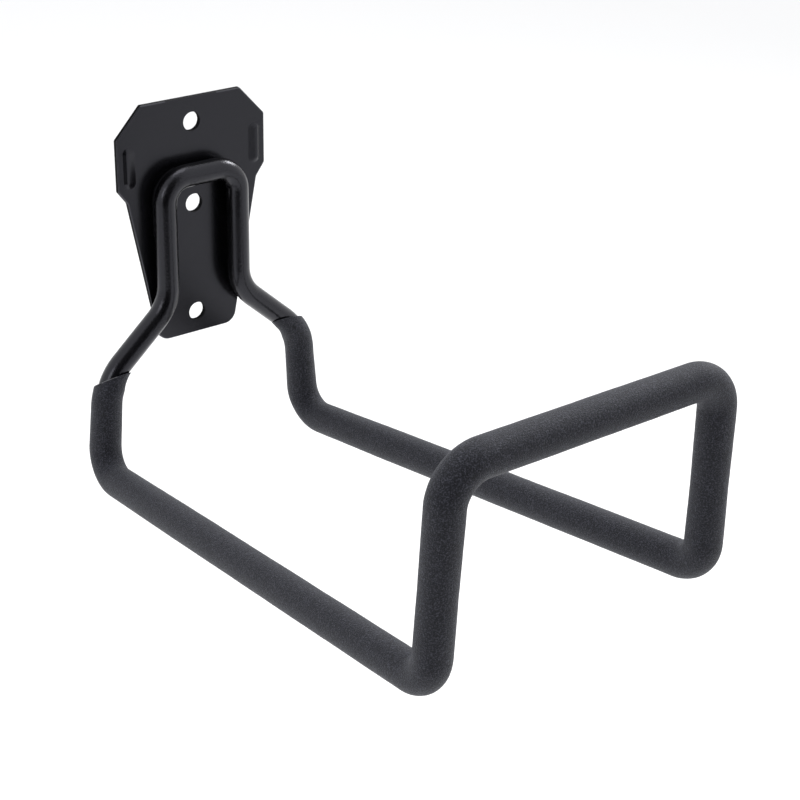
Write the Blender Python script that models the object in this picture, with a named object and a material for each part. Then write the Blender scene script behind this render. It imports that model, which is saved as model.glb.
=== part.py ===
"""Wall hanger: a pressed steel plate, one bent rod loop welded to it, and a foam sleeve on the loop.

Metres, +Z up, +Y into the wall. The origin is on the back face of the plate, on its centreline,
halfway between the two lower screw holes.
"""

import math

import bmesh
import bpy
from mathutils import Matrix, Vector

MM = 0.001
GAP = 0.3 * MM  # kept between pieces that touch

# Wall plate
PLATE_T = 2.0 * MM
PLATE_OUTLINE = (  # right half from top to bottom: half width, height, corner radius in mm
    (20.5, 60.9, 1.0),
    (30.8, 49.8, 1.0),
    (30.8, 31.0, 1.5),
    (27.2, 26.2, 2.0),
    (16.2, -29.5, 5.0),
)
HOLE_D = 7.5 * MM
HOLES_Z = (51.8 * MM, 21.25 * MM, -21.25 * MM)
RIB_X, RIB_Z = 26.0 * MM, 39.2 * MM  # centre of the two pressed ribs
RIB_LENGTH, RIB_WIDTH = 15.5 * MM, 4.6 * MM
RIB_RISE, RIB_BEVEL = 0.9 * MM, 0.8 * MM

# Rod loop: corners of its centreline on the +X side, from the plate round to the front bar
ROD_R = 4.0 * MM
STAND_OFF = 1.3 * MM  # the weld beads hold the rod this far off the plate
ROD_Y = -(PLATE_T + STAND_OFF + ROD_R)
LOOP = (  # x, y, z and bend radius
    (15.2 * MM, ROD_Y, 34.2 * MM, 9.0 * MM),
    (15.2 * MM, ROD_Y, -13.0 * MM, 17.0 * MM),
    (41.8 * MM, ROD_Y + 0.2 * MM, -36.8 * MM, 21.0 * MM),
    (44.9 * MM, ROD_Y + 0.7 * MM, -73.6 * MM, 10.5 * MM),
    (54.8 * MM, -210.5 * MM, -49.7 * MM, 10.8 * MM),
    (52.4 * MM, -212.2 * MM, 19.2 * MM, 12.4 * MM),
)
BEND_STEP = math.radians(11.5)  # the most that one chord of a bend turns
ROUND = 6  # bevel resolution of the rod and the foam: 16 sides

# Foam sleeve
FOAM_R = 6.0 * MM
CUT_X = 40.0 * MM  # where the rod passes the straight cut at each end of the sleeve
CUT_Z = {"left": -36.5 * MM, "right": -32.3 * MM}
CUT_TILT, CUT_LEAN = math.radians(3), math.radians(33)  # down towards the outside, down towards the wall

# Weld beads, outside the upper bends: offset from the rod's line of contact, and height above the plate
BEAD_R, BEAD_OUT, BEAD_UP = 1.2 * MM, 2.3 * MM, 1.3 * MM
BEAD_TOP_X, BEAD_END_Z = 5.5 * MM, 12.5 * MM

COLLECTION = "wall_guitar_hanger"
SIDES = {"left": -1, "right": 1}


def material(name, colour, roughness):
    made = bpy.data.materials.new(name)
    made.use_nodes = True
    shader = made.node_tree.nodes["Principled BSDF"]
    shader.inputs["Base Color"].default_value = (*colour, 1.0)
    shader.inputs["Metallic"].default_value = 0.0
    shader.inputs["Roughness"].default_value = roughness
    return made


def fillet(before, corner, after, radius):
    """The points of an arc that rounds a corner, ends included."""
    inward, outward = (before - corner).normalized(), (after - corner).normalized()
    turn = math.pi - inward.angle(outward)
    start = corner + inward * radius * math.tan(turn / 2)
    centre = corner + (inward + outward).normalized() * radius / math.cos(turn / 2)
    axis = inward.cross(outward)
    count = max(2, math.ceil(turn / BEND_STEP))
    turns = [Matrix.Rotation(-turn * i / count, 3, axis) for i in range(count + 1)]
    return [centre + spin @ (start - centre) for spin in turns]


def rounded(corners, closed=True):
    """A line through (point, bend radius) corners; an open line keeps its two end points sharp."""
    points, last = [], len(corners) - 1
    for i, (corner, radius) in enumerate(corners):
        if not closed and i in (0, last):
            points.append(corner)
        else:
            points += fillet(corners[i - 1][0], corner, corners[(i + 1) % (last + 1)][0], radius)
    return points


def mirrored(corners):
    """The corners on the +X side, then their mirror images back to the start."""
    return corners + [(Vector((-p.x, p.y, p.z)), radius) for p, radius in reversed(corners)]


def curve(name, points, cyclic, radii=None):
    data = bpy.data.curves.new(name, "CURVE")
    spline = data.splines.new("POLY")
    spline.points.add(len(points) - 1)
    for i, (knot, point) in enumerate(zip(spline.points, points)):
        knot.co = (*point, 1.0)
        knot.radius = radii[i] if radii else 1.0
    spline.use_cyclic_u = cyclic
    return bpy.data.objects.new(name, data)


def bar(name, points, radius, resolution, cyclic=False, radii=None):
    """A round bar along a line of points."""
    made = curve(name, points, cyclic, radii)
    made.data.dimensions = "3D"
    made.data.bevel_depth = radius
    made.data.bevel_resolution = resolution
    made.data.use_fill_caps = not cyclic
    return as_mesh(made)


def slab(name, outline, y, half, bevel=0.0):
    """A flat outline of (x, z) points, given thickness along Y about a middle plane."""
    made = curve(name, [(x, z, 0) for x, z in outline], True)
    made.data.dimensions = "2D"
    made.data.fill_mode = "BOTH"
    made.data.extrude = half - bevel
    made.data.bevel_depth = bevel
    made.data.bevel_resolution = 1
    made.data.offset = -bevel
    made.matrix_world = Matrix.Translation((0, y, 0)) @ Matrix.Rotation(math.pi / 2, 4, "X")
    return as_mesh(made)


def as_mesh(made):
    """The curve as a mesh object with its caps welded; the curve is removed."""
    bpy.context.scene.collection.objects.link(made)
    graph = bpy.context.evaluated_depsgraph_get()
    data = bpy.data.meshes.new_from_object(made.evaluated_get(graph))
    mesh = bmesh.new()
    mesh.from_mesh(data)
    bmesh.ops.remove_doubles(mesh, verts=mesh.verts, dist=1e-6)
    bmesh.ops.recalc_face_normals(mesh, faces=mesh.faces)
    mesh.to_mesh(data)
    mesh.free()
    name = made.name
    place = made.matrix_world.copy()
    bpy.data.objects.remove(made)
    thing = bpy.data.objects.new(name, data)
    thing.matrix_world = place
    return thing


def box(name, size, place):
    """A box that stands on the middle of its base."""
    mesh = bmesh.new()
    bmesh.ops.create_cube(mesh, size=1, matrix=Matrix.Translation((0, 0, 0.5)))
    mesh.transform(Matrix.Diagonal((*size, 1)))
    return tool(name, mesh, place)


def drill(name, z):
    """A cylinder through the plate at one of its screw holes."""
    mesh = bmesh.new()
    bmesh.ops.create_cone(
        mesh, cap_ends=True, segments=40, radius1=HOLE_D / 2, radius2=HOLE_D / 2, depth=PLATE_T * 4
    )
    return tool(name, mesh, Matrix.Translation((0, 0, z)) @ Matrix.Rotation(math.pi / 2, 4, "X"))


def tool(name, mesh, place):
    """Makes a cutter of a bmesh."""
    data = bpy.data.meshes.new(name)
    mesh.to_mesh(data)
    mesh.free()
    thing = bpy.data.objects.new(name, data)
    thing.matrix_world = place
    return hidden(thing)


def hidden(thing):
    bpy.data.collections["cutters"].objects.link(thing)
    thing.hide_render = True
    thing.display_type = "WIRE"
    return thing


def part(thing, made):
    """Puts a piece in the object's collection with its material, its round faces shaded smooth."""
    bpy.data.collections[COLLECTION].objects.link(thing)
    thing.data.materials.clear()
    thing.data.materials.append(made)
    thing.data.shade_smooth()
    thing.data.set_sharp_from_angle(angle=math.radians(30))
    return thing


def boolean(thing, other, operation):
    modifier = thing.modifiers.new(f"{operation} {other.name}", "BOOLEAN")
    modifier.operation = operation
    modifier.solver = "EXACT"
    modifier.object = other


def slot(centre_x, length, width):
    """A vertical slot outline, from two half circles of eight chords."""
    half = width / 2
    lift = length / 2 - half
    return [
        (
            centre_x + half * math.cos(start + math.pi * k / 8),
            RIB_Z + shift + half * math.sin(start + math.pi * k / 8),
        )
        for start, shift in ((0, lift), (math.pi, -lift))
        for k in range(9)
    ]


def plate(made):
    """The sheet with its three screw holes; a pressed rib rises in front and is hollow behind."""
    right = [(Vector((x, 0, z)) * MM, radius * MM) for x, z, radius in PLATE_OUTLINE]
    outline = [(p.x, p.z) for p in rounded(mirrored(right))]
    thing = part(slab("wall_plate", outline, -PLATE_T / 2, PLATE_T / 2), made)
    half = RIB_RISE + 0.2 * MM
    for name, side in SIDES.items():
        outline = slot(side * RIB_X, RIB_LENGTH, RIB_WIDTH)
        rib = slab(f"rib_{name}", outline, half - RIB_RISE - PLATE_T, half, RIB_BEVEL)
        boolean(thing, hidden(rib), "UNION")
        outline = slot(side * RIB_X, RIB_LENGTH - 1.2 * MM, RIB_WIDTH - 1.2 * MM)
        recess = slab(f"recess_{name}", outline, half - RIB_RISE, half, RIB_BEVEL)
        boolean(thing, hidden(recess), "DIFFERENCE")
    for number, z in enumerate(HOLES_Z, 1):
        boolean(thing, drill(f"drill_{number}", z), "DIFFERENCE")


def loop():
    return mirrored([(Vector((x, y, z)), radius) for x, y, z, radius in LOOP])


def sleeve(made, clearance):
    """The foam follows the loop between two straight cuts, each on the bend below the splayed leg."""
    path = rounded(loop()[1:-1], closed=False)
    thing = part(bar("foam_sleeve", path, FOAM_R, ROUND), made)
    boolean(thing, clearance, "DIFFERENCE")
    for name, side in SIDES.items():
        place = Matrix.Translation((side * CUT_X, ROD_Y, CUT_Z[name]))
        place = place @ Matrix.Rotation(side * CUT_TILT, 4, "Y") @ Matrix.Rotation(-CUT_LEAN, 4, "X")
        boolean(thing, box(f"cut_{name}", (80 * MM, 80 * MM, 40 * MM), place), "DIFFERENCE")


def welds(made, clearance):
    """One fillet bead outside each upper bend, trimmed clear of the rod and of the plate."""
    place = Matrix.Translation((0, 20 * MM - PLATE_T - GAP, -40 * MM))
    under = box("under_welds", (120 * MM, 40 * MM, 120 * MM), place)
    half, _, top, radius = LOOP[0]
    y = -PLATE_T - BEAD_UP
    for name, side in SIDES.items():
        corners = [
            (Vector((side * BEAD_TOP_X, y, top + BEAD_OUT)), 0),
            (Vector((side * (half + BEAD_OUT), y, top + BEAD_OUT)), radius + BEAD_OUT),
            (Vector((side * (half + BEAD_OUT), y, BEAD_END_Z)), 0),
        ]
        path = rounded(corners, closed=False)
        path.insert(1, path[0].lerp(path[1], 0.5))
        path.insert(-1, path[-2].lerp(path[-1], 0.9))
        sizes = [0.5, *[1.0] * (len(path) - 2), 0.5]
        bead = part(bar(f"weld_{name}", path, BEAD_R, 3, radii=sizes), made)
        boolean(bead, clearance, "DIFFERENCE")
        boolean(bead, under, "DIFFERENCE")


def main():
    for thing in list(bpy.data.objects):
        bpy.data.objects.remove(thing)
    for name in (COLLECTION, "cutters"):
        bpy.context.scene.collection.children.link(bpy.data.collections.new(name))
    plate(material("plate_coat", (0.022, 0.022, 0.024), 0.35))
    line = rounded(loop())
    part(bar("hook_rod", line, ROD_R, ROUND, cyclic=True), material("rod_coat", (0.018, 0.018, 0.020), 0.25))
    clearance = hidden(bar("rod_clearance", line, ROD_R + GAP, ROUND, cyclic=True))
    sleeve(material("foam", (0.030, 0.031, 0.036), 0.95), clearance)
    welds(material("weld_coat", (0.018, 0.018, 0.020), 0.4), clearance)


main()
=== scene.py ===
"""Studio view of the wall guitar hanger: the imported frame, its plate, rod, welds and foam in full detail."""

import math

import bmesh
import bpy
from mathutils import Matrix, Vector, noise

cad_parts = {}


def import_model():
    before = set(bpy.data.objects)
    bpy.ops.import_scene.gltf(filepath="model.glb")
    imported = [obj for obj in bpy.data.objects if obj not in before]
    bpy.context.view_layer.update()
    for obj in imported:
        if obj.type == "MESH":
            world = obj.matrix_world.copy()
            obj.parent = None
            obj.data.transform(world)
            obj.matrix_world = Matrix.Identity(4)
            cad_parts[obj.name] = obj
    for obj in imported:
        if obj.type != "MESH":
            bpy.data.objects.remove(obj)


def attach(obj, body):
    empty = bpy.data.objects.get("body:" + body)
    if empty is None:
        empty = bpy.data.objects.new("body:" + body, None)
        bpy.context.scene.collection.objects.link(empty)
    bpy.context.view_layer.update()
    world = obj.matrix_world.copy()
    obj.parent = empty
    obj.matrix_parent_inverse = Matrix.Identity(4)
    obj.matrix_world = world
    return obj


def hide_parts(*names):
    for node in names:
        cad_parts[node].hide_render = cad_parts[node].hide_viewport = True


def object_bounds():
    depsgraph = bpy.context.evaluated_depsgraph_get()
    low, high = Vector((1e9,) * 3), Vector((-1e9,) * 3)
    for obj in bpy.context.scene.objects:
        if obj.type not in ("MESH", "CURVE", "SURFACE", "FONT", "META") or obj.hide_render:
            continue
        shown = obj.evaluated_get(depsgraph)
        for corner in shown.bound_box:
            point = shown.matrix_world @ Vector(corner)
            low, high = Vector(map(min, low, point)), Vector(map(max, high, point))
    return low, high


MM = 0.001

# The CAD's own dimensions
PLATE_T = 2.0 * MM
PLATE_OUTLINE = (  # right half from top to bottom: half width, height, corner radius in mm
    (20.5, 60.9, 1.0),
    (30.8, 49.8, 1.0),
    (30.8, 31.0, 1.5),
    (27.2, 26.2, 2.0),
    (16.2, -29.5, 5.0),
)
HOLE_R = 3.75 * MM
HOLES_Z = (51.8 * MM, 21.25 * MM, -21.25 * MM)
RIB_X, RIB_Z = 26.0 * MM, 39.2 * MM
RIB_LENGTH, RIB_WIDTH, RIB_RISE = 15.5 * MM, 5.0 * MM, 0.7 * MM
ROD_R, FOAM_R = 4.0 * MM, 6.0 * MM
ROD_Y = -7.3 * MM
LOOP = (  # corners of the rod's centreline on the +X side: x, y, z and bend radius
    (15.2 * MM, ROD_Y, 34.2 * MM, 9.0 * MM),
    (15.2 * MM, ROD_Y, -13.0 * MM, 17.0 * MM),
    (41.8 * MM, ROD_Y + 0.2 * MM, -36.8 * MM, 21.0 * MM),
    (44.9 * MM, ROD_Y + 0.7 * MM, -73.6 * MM, 10.5 * MM),
    (54.8 * MM, -210.5 * MM, -49.7 * MM, 10.8 * MM),
    (52.4 * MM, -212.2 * MM, 19.2 * MM, 12.4 * MM),
)
CUT_X = 40.0 * MM
CUT_Z = {"left": -36.5 * MM, "right": -32.3 * MM}
CUT_TILT, CUT_LEAN = math.radians(3), math.radians(33)
SIDES = {"left": -1, "right": 1}

# Detail that only the looks have
EDGE_R, HOLE_EDGE_R = 0.45 * MM, 0.25 * MM  # rolled edges of the coated sheet
COAT_T = 0.1 * MM  # powder coat over the rod
FOAM_WALL_GAP = 0.15 * MM
CUT_BEVEL = 0.2 * MM  # softened rim of each foam cut
RIB_STEPS = 16
RIDGE_SHIFT = 0.5  # how far the rib's ridge lies towards the outer side, in half widths
FLANK_SHARE = 0.9  # the part of the way to the ridge over which a rib rises
BEAD_OUT, BEAD_DEPTH = 1.5 * MM, 0.75 * MM  # the bead's line beside the rod and in front of the sheet
BEAD_R, BEAD_STEP, BEAD_TAPER, RIPPLE = 1.05, 0.22, 1.6, 1.25  # in mm
BEAD_START_X, BEAD_END_Z = 7.0 * MM, 11.4 * MM
SKIN = {  # mm that the foam's skin stands out on the arms, and draws in on the uprights and at the inner lip
    1: (0.26, 0.40, 1.35),
    -1: (0.16, 0.25, 1.15),
}


# ---------------------------------------------------------------- paths


def fillet(before, corner, after, radius, step):
    inward, outward = (before - corner).normalized(), (after - corner).normalized()
    turn = math.pi - inward.angle(outward)
    start = corner + inward * radius * math.tan(turn / 2)
    centre = corner + (inward + outward).normalized() * radius / math.cos(turn / 2)
    axis = inward.cross(outward)
    count = max(2, math.ceil(turn / step))
    return [centre + Matrix.Rotation(-turn * i / count, 3, axis) @ (start - centre) for i in range(count + 1)]


def rounded(corners, closed=True, step=math.radians(3)):
    points, last = [], len(corners) - 1
    for i, (corner, radius) in enumerate(corners):
        if not closed and i in (0, last):
            points.append(corner)
        else:
            points += fillet(corners[i - 1][0], corner, corners[(i + 1) % (last + 1)][0], radius, step)
    return points


def mirrored(corners):
    return corners + [(Vector((-p.x, p.y, p.z)), radius) for p, radius in reversed(corners)]


def spaced(points, gap, closed):
    """The same line with points no further apart than gap."""
    result = []
    for i, a in enumerate(points):
        if not closed and i == len(points) - 1:
            result.append(a)
            break
        b = points[(i + 1) % len(points)]
        count = max(1, math.ceil((b - a).length / gap))
        result += [a.lerp(b, k / count) for k in range(count)]
    return result


def loop():
    return mirrored([(Vector((x, y, z)), radius) for x, y, z, radius in LOOP])


# ---------------------------------------------------------------- meshes


def frames(points, closed):
    """Tangent and two cross directions at each point, carried along without twist; closed ends meet."""
    count = len(points)
    tangents = []
    for i in range(count):
        after = points[(i + 1) % count] if closed else points[min(i + 1, count - 1)]
        before = points[i - 1] if closed else points[max(i - 1, 0)]
        tangents.append((after - before).normalized())
    side = tangents[0].orthogonal().normalized()
    first, sides = side.copy(), []
    for tangent in tangents:
        side = (side - tangent * side.dot(tangent)).normalized()
        sides.append(side.copy())
    if closed:
        end = (side - tangents[0] * side.dot(tangents[0])).normalized()
        twist = math.atan2(tangents[0].dot(first.cross(end)), first.dot(end))
        pairs = enumerate(zip(tangents, sides))
        sides = [Matrix.Rotation(-twist * i / count, 3, t) @ s for i, (t, s) in pairs]
    return [(t, s, t.cross(s)) for t, s in zip(tangents, sides)]


def sweep(mesh, points, radius, sides, closed=False, inward=False):
    """Adds a tube's wall; radius is a number, or a function of (place along, angle, point, outward)."""
    rings = []
    for i, (point, (_, a, b)) in enumerate(zip(points, frames(points, closed))):
        ring = []
        for k in range(sides):
            angle = 2 * math.pi * k / sides
            out = a * math.cos(angle) + b * math.sin(angle)
            r = radius(i, angle, point, out) if callable(radius) else radius
            ring.append(mesh.verts.new(point + out * r))
        rings.append(ring)
    last = len(rings) if closed else len(rings) - 1
    for i in range(last):
        low, high = rings[i], rings[(i + 1) % len(rings)]
        for k in range(sides):
            n = (k + 1) % sides
            face = (low[k], low[n], high[n], high[k])
            mesh.faces.new(face[::-1] if inward else face)
    return rings


def piece(name, mesh, material, replaces=(), angle=40):
    data = bpy.data.meshes.new(name)
    bmesh.ops.recalc_face_normals(mesh, faces=mesh.faces)
    mesh.to_mesh(data)
    mesh.free()
    data.shade_smooth()
    data.set_sharp_from_angle(angle=math.radians(angle))
    thing = bpy.data.objects.new(name, data)
    bpy.context.scene.collection.objects.link(thing)
    data.materials.append(material)
    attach(thing, "root")
    if replaces:
        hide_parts(*replaces)
    return thing


def bridge(mesh, low, high):
    for k in range(len(low)):
        n = (k + 1) % len(low)
        mesh.faces.new((low[k], low[n], high[n], high[k]))


# ---------------------------------------------------------------- wall plate


def inset(points, distance):
    """An outline of (x, z) points moved inwards along its normals."""
    moved, count = [], len(points)
    for i, p in enumerate(points):
        a, b = points[i - 1], points[(i + 1) % count]
        before, after = (p - a).normalized(), (b - p).normalized()
        along = (before + after).normalized()
        normal = Vector((along.y, -along.x))
        moved.append(p + normal * distance / max(0.3, normal.dot(Vector((before.y, -before.x)))))
    return moved


def edge_rings(mesh, outline, radius, steps=4, grow=1):
    """Rings from the front face's rim over the rolled edge, down the side and round to the back rim."""
    rings = []
    for i in range(steps + 1):
        turn = math.pi / 2 * i / steps
        y = -PLATE_T + radius * (1 - math.cos(turn))
        rings.append((inset(outline, grow * radius * (1 - math.sin(turn))), y))
    for i in range(steps + 1):
        turn = math.pi / 2 * i / steps
        y = -radius * (1 - math.sin(turn))
        rings.append((inset(outline, grow * radius * (1 - math.cos(turn))), y))
    made = [[mesh.verts.new((p.x, y, p.y)) for p in ring] for ring, y in rings]
    for low, high in zip(made, made[1:]):
        bridge(mesh, low, high)
    return made[0], made[-1]


def stadium(centre_x, half_width, half_straight, count=20):
    points = []
    for start, shift in ((0, half_straight), (math.pi, -half_straight)):
        for k in range(count + 1):
            turn = start + math.pi * k / count
            x = centre_x + half_width * math.cos(turn)
            points.append(Vector((x, RIB_Z + shift + half_width * math.sin(turn))))
    return points


def rib_rings(mesh, side, y, half_width):
    """A pressed rib: its ridge lies near the outer side, the inner flank runs out slowly into the sheet."""
    half_straight = (RIB_LENGTH - RIB_WIDTH) / 2
    rings = []
    for i in range(RIB_STEPS + 1):
        inward = i / RIB_STEPS
        centre_x = side * (RIB_X + RIDGE_SHIFT * half_width * inward)
        flank = min(1.0, inward / FLANK_SHARE)
        height = RIB_RISE * (0.75 * flank + 0.25 * flank * flank * (3 - 2 * flank))
        line = stadium(centre_x, half_width * (1 - 0.97 * inward), half_straight)
        rings.append([mesh.verts.new((p.x, y - height, p.y)) for p in line])
    for low, high in zip(rings, rings[1:]):
        bridge(mesh, low, high)
    mesh.faces.new(rings[-1])
    return rings[0]


def ring_edges(ring):
    after = ring[1:] + ring[:1]
    return [next(e for e in a.link_edges if e.other_vert(a) is b) for a, b in zip(ring, after)]


def plate(material, edge, rim):
    mesh = bmesh.new()
    right = [(Vector((x, 0, z)) * MM, radius * MM) for x, z, radius in PLATE_OUTLINE]
    line = rounded(mirrored(right), step=math.radians(9))
    outline = [Vector((p.x, p.z)) for p in spaced(line, 2.5 * MM, True)]
    front, back = edge_rings(mesh, outline, EDGE_R)
    fronts, backs = [front], [back]
    for z in HOLES_Z:
        circle = [
            Vector((HOLE_R * math.cos(-math.tau * k / 64), z + HOLE_R * math.sin(-math.tau * k / 64)))
            for k in range(64)
        ]
        a, b = edge_rings(mesh, circle[::-1], HOLE_EDGE_R, grow=-1)
        fronts.append(a)
        backs.append(b)
    for side in SIDES.values():
        fronts.append(rib_rings(mesh, side, -PLATE_T, RIB_WIDTH / 2))
        backs.append(rib_rings(mesh, side, 0, RIB_WIDTH / 2 - 0.5 * MM))
    for rings in (fronts, backs):
        edges = [e for ring in rings for e in ring_edges(ring)]
        bmesh.ops.triangle_fill(mesh, use_beauty=True, use_dissolve=False, edges=edges)
    thing = piece("plate_pressed", mesh, material, ["wall_plate"], angle=70)
    thing.data.materials.append(edge)  # the sheet's sides, a near-black copy of the coat with almost no reflection: painted shade
    thing.data.materials.append(rim)  # the rolled front edge, a paler and glossier copy of the coat: a painted highlight line
    for face in thing.data.polygons:
        on_edge = face.center.y > -PLATE_T + 0.001 * MM and face.center.y < -PLATE_T + EDGE_R
        # the sheet's sides take the near-black copy of the coat: painted shade
        if abs(face.normal.y) < 0.4:
            face.material_index = 1
        # the rolled front edge beyond 10 mm from the middle takes the paler, glossier copy: a painted
        # highlight line
        elif on_edge and abs(face.center.x) > 10 * MM:
            face.material_index = 2
    normals = thing.modifiers.new("normals", "WEIGHTED_NORMAL")
    normals.keep_sharp = True
    normals.weight = 100
    return thing


# ---------------------------------------------------------------- rod and welds


def rod(material):
    mesh = bmesh.new()
    points = spaced(rounded(loop(), step=math.radians(3)), 3 * MM, True)
    sweep(mesh, points, ROD_R + COAT_T, 48, closed=True)
    return piece("rod_bent", mesh, material, ["hook_rod"])


def bead(side, material, name, node):
    """A fillet weld laid in small overlapping ripples in the corner between rod and sheet."""
    half, _, top, radius = LOOP[0]
    y = -PLATE_T - BEAD_DEPTH
    corners = [
        (Vector((side * 4.4 * MM, y, top + BEAD_OUT)), 0),
        (Vector((side * (half + BEAD_OUT), y, top + BEAD_OUT)), radius + BEAD_OUT),
        (Vector((side * (half + BEAD_OUT), y, BEAD_END_Z)), 0),
    ]
    line = spaced(rounded(corners, closed=False, step=math.radians(2)), BEAD_STEP * MM, False)
    points = [p for p in line if abs(p.x) > BEAD_START_X]
    count = len(points)

    def radius_at(i, angle, point, outward):
        ends = min(1.0, (min(i, count - 1 - i) + 0.5) * BEAD_STEP / BEAD_TAPER)
        ripple = 0.5 + 0.5 * math.cos(i * BEAD_STEP / RIPPLE * math.tau + 1.1 * abs(math.sin(angle)))
        uneven = 0.12 * noise.noise(point * 420)
        return MM * BEAD_R * math.sqrt(ends) * (0.93 + 0.07 * ripple + uneven)

    mesh = bmesh.new()
    rings = sweep(mesh, points, radius_at, 20)
    mesh.faces.new(rings[0][::-1])
    mesh.faces.new(rings[-1])
    for vert in mesh.verts:  # the root melts into the sheet and never reaches its back
        vert.co.y = min(vert.co.y, -PLATE_T + 0.3 * MM)
    return piece(name, mesh, material, [node], angle=80)


# ---------------------------------------------------------------- foam sleeve


def share(value, low, high):
    return min(1.0, max(0.0, (value - low) / (high - low)))


def cut_plane(side, height):
    """A point on the sleeve's end cut and the cut's normal."""
    lean = Matrix.Rotation(side * CUT_TILT, 3, "Y") @ Matrix.Rotation(-CUT_LEAN, 3, "X")
    return Vector((side * CUT_X, ROD_Y, height)), lean @ Vector((0, 0, 1))


def foam(material, cut_highlight):
    """A tube of foam over the rod, cut straight at each rear end, its skin slightly uneven.

    The outer half of each cut carries a paler copy of the foam, a painted highlight on the cut face.
    """
    points = spaced(rounded(loop()[1:-1], closed=False, step=math.radians(3)), 0.75 * MM, False)
    planes = {side: cut_plane(side, CUT_Z[name]) for name, side in SIDES.items()}
    mesh = bmesh.new()

    def skin(i, angle, point, outward):
        p = point + outward * FOAM_R
        slow = noise.noise(p * 55) * 0.07
        fine = noise.noise(p * 260) * 0.035
        side = 1 if point.x > 0 else -1
        front = share(-point.y, 150 * MM, 200 * MM) * share(point.z, -20 * MM, 15 * MM)
        arm = share(-point.y, 10 * MM, 60 * MM) * share(-point.z, 20 * MM, 45 * MM)
        rear = share(point.y, -30 * MM, -20 * MM)
        end = share(point.z, -64 * MM, -48 * MM) * rear
        middle, normal = planes[side]
        depth = (middle - p).dot(normal)
        lip = (1 - share(depth, 0.5 * MM, 5.5 * MM)) * rear
        inner = share(-side * outward.x, -0.3, 0.7)
        out, thin, lip_thin = SKIN[side]
        drawn = 0.19 * front + out * arm - thin * end - lip_thin * lip * inner - 0.2 * lip
        return FOAM_R + MM * (slow + fine - 0.10 + drawn)

    sweep(mesh, points, skin, 60)
    sweep(mesh, points, ROD_R + FOAM_WALL_GAP, 40, inward=True)
    for side, (middle, normal) in planes.items():
        near = [v for v in mesh.verts if v.co.y > -40 * MM and v.co.x * side > 0]
        chosen = set(near)
        faces = [f for f in mesh.faces if all(v in chosen for v in f.verts)]
        edges = [e for e in mesh.edges if all(v in chosen for v in e.verts)]
        cut = bmesh.ops.bisect_plane(
            mesh, geom=near + edges + faces, plane_co=middle, plane_no=normal, clear_outer=True
        )
        rim = [e for e in cut["geom_cut"] if isinstance(e, bmesh.types.BMEdge)]
        ring = bmesh.ops.bridge_loops(mesh, edges=rim)
        flat = set(ring["faces"])
        sharp = [e for f in flat for e in f.edges if any(g not in flat for g in e.link_faces)]
        bmesh.ops.bevel(
            mesh,
            geom=sharp,
            offset=CUT_BEVEL,
            offset_type="OFFSET",
            segments=3,
            profile=0.5,
            affect="EDGES",
        )
    thing = piece("foam_tube", mesh, material, ["foam_sleeve"], angle=60)
    # a paler copy of the foam for the outer half of each cut: painted highlight
    thing.data.materials.append(cut_highlight)
    for face in thing.data.polygons:
        side = 1 if face.center.x > 0 else -1
        middle, normal = planes[side]
        near_cut = abs((face.center - middle).dot(normal)) < 0.22 * MM and face.center.y > -20 * MM
        if near_cut and face.center.x * side > CUT_X + 0.5 * MM:
            face.material_index = 1
    return thing


# ---------------------------------------------------------------- materials


class Nodes:
    """A short way to write a node tree."""

    def __init__(self, name):
        self.material = bpy.data.materials.new(name)
        self.material.use_nodes = True
        self.tree = self.material.node_tree
        self.shader = self.tree.nodes["Principled BSDF"]

    def add(self, kind, links=(), **values):
        node = self.tree.nodes.new(kind)
        for key, value in values.items():
            setattr(node, key, value)
        for key, value in links:
            if isinstance(value, bpy.types.NodeSocket):
                self.tree.links.new(value, node.inputs[key])
            else:
                node.inputs[key].default_value = value
        return node

    def set(self, **values):
        for key, value in values.items():
            socket = self.shader.inputs[key.replace("_", " ")]
            if isinstance(value, bpy.types.NodeSocket):
                self.tree.links.new(value, socket)
            else:
                socket.default_value = value

    def noise(self, scale, detail=2.0, rough=0.5, where=None):
        where = where or self.add("ShaderNodeTexCoord").outputs["Object"]
        links = (("Vector", where), ("Scale", scale), ("Detail", detail), ("Roughness", rough))
        return self.add("ShaderNodeTexNoise", links).outputs["Fac"]

    def ramp(self, fac, *stops):
        made = self.add("ShaderNodeValToRGB", (("Fac", fac),))
        ramp = made.color_ramp
        while len(ramp.elements) < len(stops):
            ramp.elements.new(0.5)
        for element, (place, colour) in zip(ramp.elements, stops):
            element.position = place
            element.color = (*colour, 1) if hasattr(colour, "__len__") else (colour, colour, colour, 1)
        return made.outputs["Color"]

    def span(self, value, low, high, to_low, to_high):
        spans = (("From Min", low), ("From Max", high), ("To Min", to_low), ("To Max", to_high))
        return self.add("ShaderNodeMapRange", (("Value", value), *spans)).outputs["Result"]

    def bump(self, height, strength, distance, normal=None):
        links = [("Height", height), ("Strength", strength), ("Distance", distance)]
        if normal:
            links.append(("Normal", normal))
        return self.add("ShaderNodeBump", links).outputs["Normal"]


def coat(name, colour, low, high, peel, grain, level):
    """Black powder coat: a faint orange peel, a finer grain and gloss that varies slowly."""
    n = Nodes(name)
    slow = n.noise(60, 3)
    mist = n.noise(900, 2)
    tone = n.ramp(mist, (0.35, [c * 0.85 for c in colour]), (0.7, [c * 1.25 for c in colour]))
    rough = n.span(slow, 0.3, 0.7, low, high)
    normal = n.bump(n.noise(420, 2), peel, 0.03 * MM)
    normal = n.bump(n.noise(1500, 2), grain, 0.06 * MM, normal)
    n.set(Base_Color=tone, Roughness=rough, Normal=normal, Metallic=0.0, IOR=1.5)
    n.shader.inputs["Specular IOR Level"].default_value = level
    n.shader.inputs["Specular Tint"].default_value = (0.88, 0.88, 1.0, 1)
    return n.material


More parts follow.
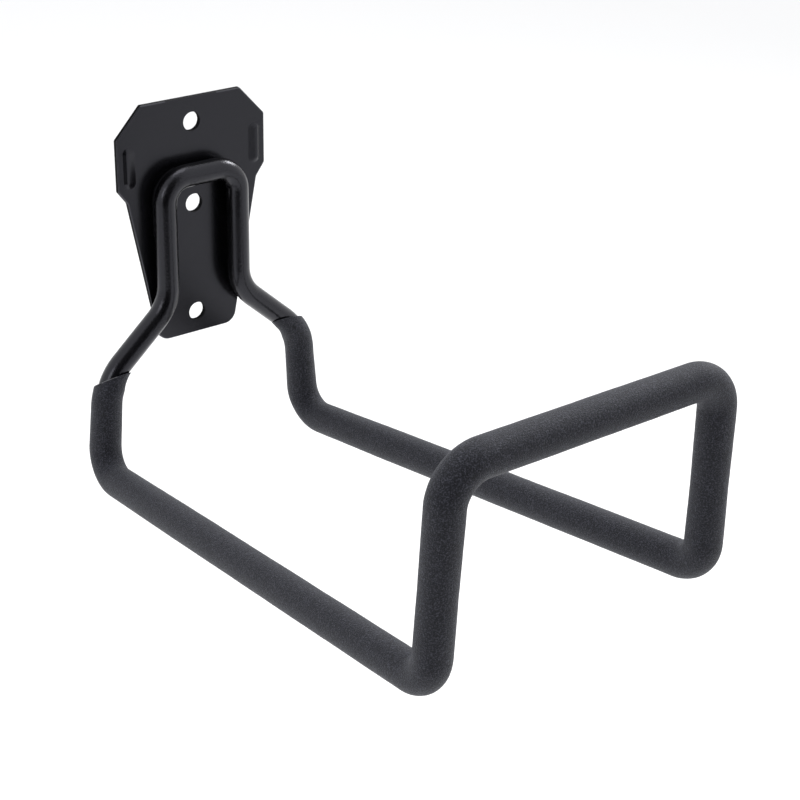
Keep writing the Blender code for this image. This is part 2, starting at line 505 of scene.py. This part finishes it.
def foam_material(name, highlight_lift):
    """Dark closed-cell foam: matte, with a fine pitted grain and lighter specks; a nonzero lift pales a cut
    face as a painted highlight.
    """
    n = Nodes(name)
    cells = n.noise(2300, 2, 0.65)
    blotch = n.noise(260, 2)
    tone = n.ramp(
        cells,
        (0.40, [c + highlight_lift for c in (0.0005, 0.0005, 0.0010)]),
        (0.52, [c + highlight_lift for c in (0.0060, 0.0062, 0.0095)]),
        (0.64, [c + highlight_lift for c in (0.0420, 0.0430, 0.0550)]),
    )
    shade = n.ramp(blotch, (0.3, 0.92), (0.7, 1.06))
    mixed = n.add("ShaderNodeMix", data_type="RGBA", blend_type="MULTIPLY")
    n.tree.links.new(tone, mixed.inputs["A"])
    n.tree.links.new(shade, mixed.inputs["B"])
    mixed.inputs["Factor"].default_value = 1.0
    normal = n.bump(cells, 1.0, 0.3 * MM)
    n.set(Base_Color=mixed.outputs["Result"], Normal=normal, Metallic=0.0, IOR=1.5, Roughness=0.6)
    n.shader.inputs["Specular IOR Level"].default_value = 0.3
    n.shader.inputs["Specular Tint"].default_value = (0.86, 0.88, 1.0, 1)
    n.shader.inputs["Sheen Tint"].default_value = (0.9, 0.92, 1.0, 1)
    n.shader.inputs["Sheen Weight"].default_value = 0.1
    n.shader.inputs["Sheen Roughness"].default_value = 0.5
    return n.material


# ---------------------------------------------------------------- studio


def direction(azimuth, elevation):
    """Azimuth 0 is +Y and 90 is +X."""
    a, e = math.radians(azimuth), math.radians(elevation)
    return Vector((math.sin(a) * math.cos(e), math.cos(a) * math.cos(e), math.sin(e)))


def world():
    """A pale room, dim on one side for everything but the camera's own rays, which see it pale all round."""
    made = bpy.data.worlds.new("studio")
    made.use_nodes = True
    bpy.context.scene.world = made
    tree = made.node_tree
    background = tree.nodes["Background"]
    where = tree.nodes.new("ShaderNodeTexCoord").outputs["Generated"]
    axis = direction(-152, 8)
    level = Vector((axis.y, -axis.x, 0)).normalized()
    up = level.cross(axis).normalized()

    def dot(vector):
        node = tree.nodes.new("ShaderNodeVectorMath")
        node.operation = "DOT_PRODUCT"
        tree.links.new(where, node.inputs[0])
        node.inputs[1].default_value = vector
        return node.outputs["Value"]

    def maths(operation, a, b):
        node = tree.nodes.new("ShaderNodeMath")
        node.operation = operation
        for socket, value in zip(node.inputs, (a, b)):
            if isinstance(value, bpy.types.NodeSocket):
                tree.links.new(value, socket)
            else:
                socket.default_value = value
        return node.outputs[0]

    wide = maths("DIVIDE", dot(level), math.sin(math.radians(36)))
    tall = maths("DIVIDE", dot(up), math.sin(math.radians(54)))
    away = maths("ADD", maths("MULTIPLY", wide, wide), maths("MULTIPLY", tall, tall))
    ahead = maths("GREATER_THAN", dot(axis), 0.0)
    shade = tree.nodes.new("ShaderNodeMapRange")
    shade.interpolation_type = "SMOOTHSTEP"
    for key, value in (("From Min", 0.55), ("From Max", 1.25), ("To Min", 0.9), ("To Max", 0.0)):
        shade.inputs[key].default_value = value
    tree.links.new(away, shade.inputs["Value"])
    dark = maths("MULTIPLY", shade.outputs["Result"], ahead)
    light = maths("SUBTRACT", 1.0, dark)
    seen = tree.nodes.new("ShaderNodeLightPath").outputs["Is Camera Ray"]
    tree.links.new(maths("MULTIPLY", maths("MAXIMUM", light, seen), 1.1), background.inputs["Strength"])
    background.inputs["Color"].default_value = (0.985, 0.99, 1.0, 1)


def softbox(name, azimuth, elevation, distance, width, height, radiance):
    data = bpy.data.lights.new(name, "AREA")
    data.shape = "RECTANGLE"
    data.size, data.size_y = width, height
    data.energy = radiance * math.pi * width * height
    thing = bpy.data.objects.new(name, data)
    away = direction(azimuth, elevation)
    lo, hi = cad_box
    thing.location = (lo + hi) / 2 + away * distance
    thing.rotation_mode = "QUATERNION"
    thing.rotation_quaternion = away.to_track_quat("Z", "Y")
    bpy.context.scene.collection.objects.link(thing)


def floor():
    data = bpy.data.meshes.new("floor")
    mesh = bmesh.new()
    bmesh.ops.create_circle(mesh, cap_ends=True, segments=96, radius=14)
    mesh.to_mesh(data)
    mesh.free()
    thing = bpy.data.objects.new("floor", data)
    thing.location.z = cad_box[0].z - 0.45
    bpy.context.scene.collection.objects.link(thing)
    n = Nodes("floor_pale")
    n.set(Base_Color=(0.96, 0.96, 0.96, 1), Roughness=0.9)
    data.materials.append(n.material)


def card():
    """A black card beyond the camera: it darkens one side of the reflections and shades the floor near it.

    The camera does not see the card itself.
    """
    low = cad_box[0].z - 0.44
    away = direction(-151, 0) * 1.25
    across = direction(-61, 0) * 0.68
    data = bpy.data.meshes.new("card")
    corners = [away - across, away + across, away + across, away - across]
    data.from_pydata([(c.x, c.y, z) for c, z in zip(corners, (low, low, 0.42, 0.42))], [], [(0, 1, 2, 3)])
    thing = bpy.data.objects.new("card", data)
    bpy.context.scene.collection.objects.link(thing)
    thing.visible_camera = False
    n = Nodes("card_black")
    n.set(Base_Color=(0.01, 0.01, 0.01, 1), Roughness=0.9)
    data.materials.append(n.material)


def camera():
    """At the photograph's viewing angle."""
    yaw, pitch, roll = math.radians(38.37), math.radians(-25.89), math.radians(1.27)
    ahead = Vector((math.sin(yaw) * math.cos(pitch), math.cos(yaw) * math.cos(pitch), math.sin(pitch)))
    right = ahead.cross(Vector((0, 0, 1))).normalized()
    up = right.cross(ahead)
    turned = right * math.cos(roll) + up * math.sin(roll)
    raised = up * math.cos(roll) - right * math.sin(roll)
    data = bpy.data.cameras.new("camera")
    data.sensor_width = 36
    data.lens = 83.58
    data.clip_start, data.clip_end = 0.01, 60
    thing = bpy.data.objects.new("camera", data)
    place = Matrix((turned, raised, -ahead)).transposed().to_4x4()
    place.translation = (-0.33484, -0.54754, 0.25217)
    thing.matrix_world = place
    bpy.context.scene.collection.objects.link(thing)
    bpy.context.scene.camera = thing


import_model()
cad_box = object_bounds()
camera()
world()
softbox("key", 80, 34, 1.6, 0.52, 0.56, 13.5)
softbox("top", 20, 80, 1.6, 1.0, 1.0, 2.2)
softbox("left", -106, 22, 1.6, 0.5, 0.7, 2.6)
floor()
card()
plate_look = coat("plate_powder", (0.0020, 0.0020, 0.0026), 0.21, 0.25, 0.10, 0.06, 0.42)
# a paler, glossier copy of the plate's coat for its rolled front edge: painted highlight line
rim_highlight_look = coat("rim_powder_painted_highlight", (0.0040, 0.0040, 0.0048), 0.20, 0.26, 0.2, 0.08, 0.9)
# a near-black copy of the coat with almost no reflection for the sheet's sides: painted shade
edge_shade_look = coat("edge_powder_painted_shade", (0.0010, 0.0010, 0.0012), 0.35, 0.45, 0.2, 0.08, 0.03)
rod_look = coat("rod_powder", (0.0020, 0.0020, 0.0024), 0.18, 0.26, 0.45, 1.0, 0.46)
# a darker, duller copy of the coat for the weld beads, reflections turned down: painted shade
bead_shade_look = coat("bead_powder_painted_shade", (0.0010, 0.0010, 0.0012), 0.45, 0.60, 0.3, 0.05, 0.1)
plate(plate_look, edge_shade_look, rim_highlight_look)
rod(rod_look)
bead(-1, bead_shade_look, "bead_left", "weld_left")
bead(1, bead_shade_look, "bead_right", "weld_right")
# the second, paler foam material is a painted highlight on the cut faces
foam(foam_material("foam_grain", 0.0), foam_material("foam_cut_painted_highlight", 0.10))
bpy.context.scene.view_settings.view_transform = "Standard"
